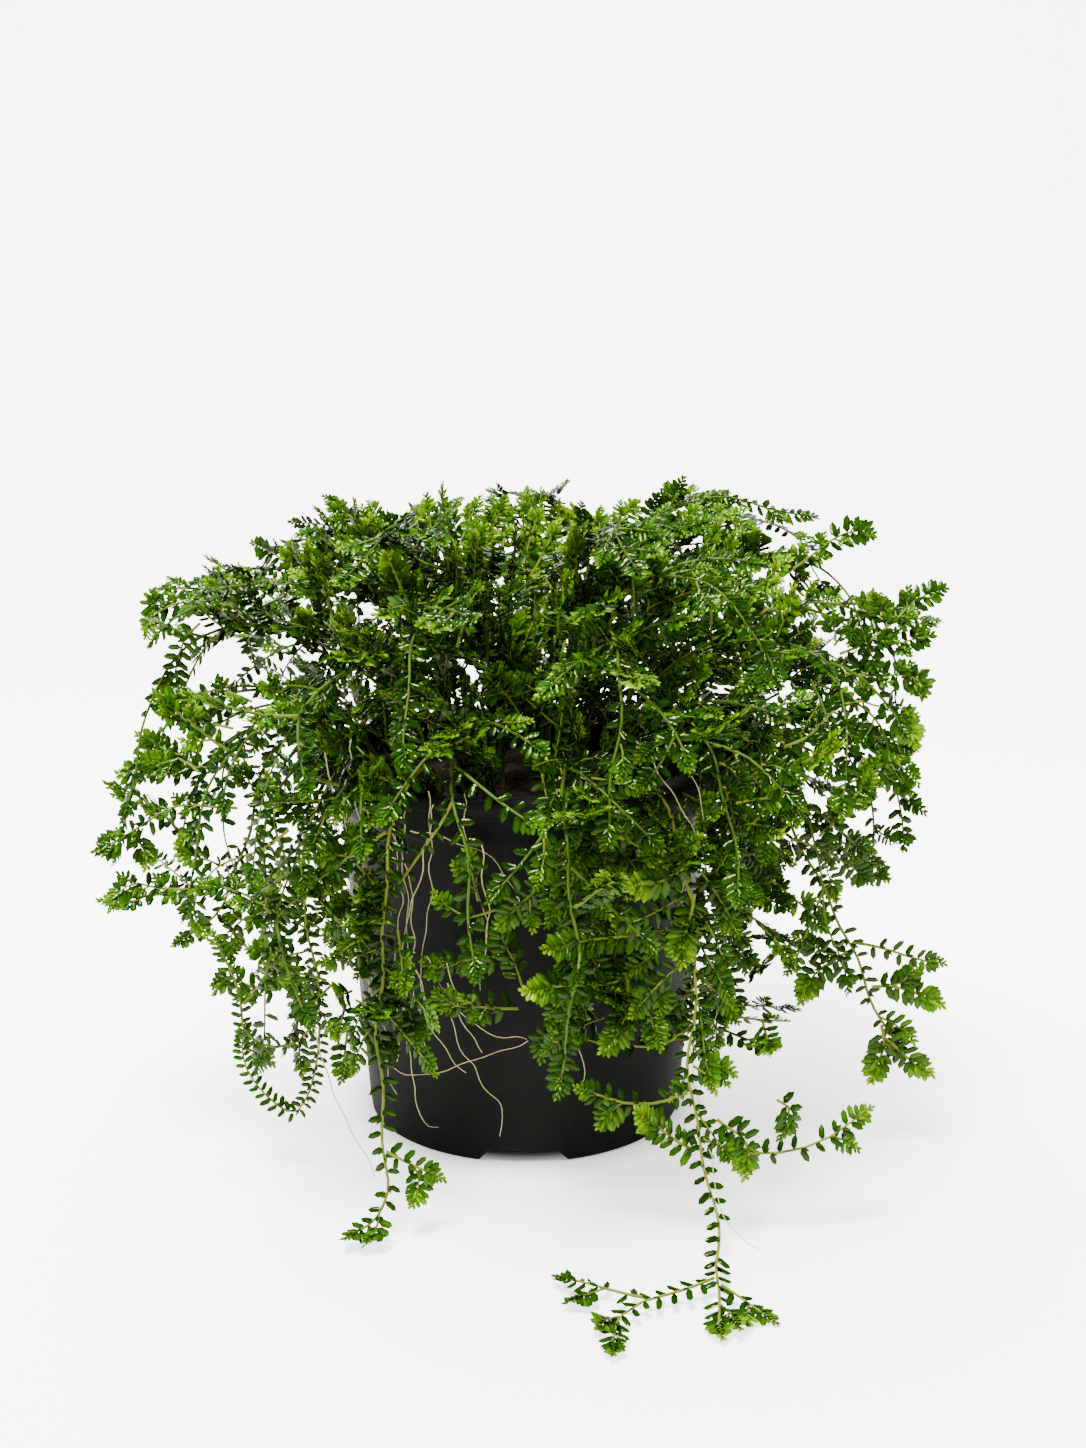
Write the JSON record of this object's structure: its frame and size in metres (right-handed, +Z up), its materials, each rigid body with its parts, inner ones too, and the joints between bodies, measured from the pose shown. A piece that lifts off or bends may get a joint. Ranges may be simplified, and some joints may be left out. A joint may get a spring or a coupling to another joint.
{
  "type": "potted spikemoss",
  "caption": "Spikemoss in a round black nursery pot: a low mound of flat forking leafy stems that arch over the rim and trail down to the floor.",
  "frame": {"origin": "bottom centre of the whole plant's bounding box, on the surface that the pot stands on", "axes": "+Z up along the pot's axis, -Y towards the viewer, where the longest stem trails onto the surface, +X to the viewer's right"},
  "size_m": [0.2324, 0.2556, 0.1781],
  "materials": {
    "pot_plastic": "matt charcoal black, injection moulded",
    "soil": "moist dark peat",
    "leaf": "living leaves, satin, mid to bright yellow-green"
  },
  "bodies": {
    "root": {"pot": "pot_plastic", "soil": "soil", "crown_spray_01": "leaf", "crown_spray_02": "leaf", "crown_spray_03": "leaf", "crown_spray_04": "leaf", "crown_spray_05": "leaf", "upper_spray_01": "leaf", "upper_spray_02": "leaf", "upper_spray_03": "leaf", "upper_spray_04": "leaf", "upper_spray_05": "leaf", "upper_spray_06": "leaf", "upper_spray_07": "leaf", "upper_spray_08": "leaf", "middle_spray_01": "leaf", "middle_spray_02": "leaf", "middle_spray_03": "leaf", "middle_spray_04": "leaf", "middle_spray_05": "leaf", "middle_spray_06": "leaf", "middle_spray_07": "leaf", "middle_spray_08": "leaf", "middle_spray_09": "leaf", "lower_spray_01": "leaf", "lower_spray_02": "leaf", "lower_spray_03": "leaf", "lower_spray_04": "leaf", "lower_spray_05": "leaf", "lower_spray_06": "leaf", "lower_spray_07": "leaf", "lower_spray_08": "leaf", "lower_spray_09": "leaf", "skirt_spray_01": "leaf", "skirt_spray_02": "leaf", "skirt_spray_03": "leaf", "skirt_spray_04": "leaf", "skirt_spray_05": "leaf", "skirt_spray_06": "leaf", "skirt_spray_07": "leaf", "skirt_spray_08": "leaf", "skirt_spray_09": "leaf", "hanging_spray_01": "leaf", "hanging_spray_02": "leaf", "hanging_spray_03": "leaf", "hanging_spray_04": "leaf", "hanging_spray_05": "leaf", "hanging_spray_06": "leaf", "trail_front_right": "leaf", "trail_front_left": "leaf", "trail_left_loop": "leaf", "trail_right": "leaf", "trail_left": "leaf"}
  },
  "joints": []
}
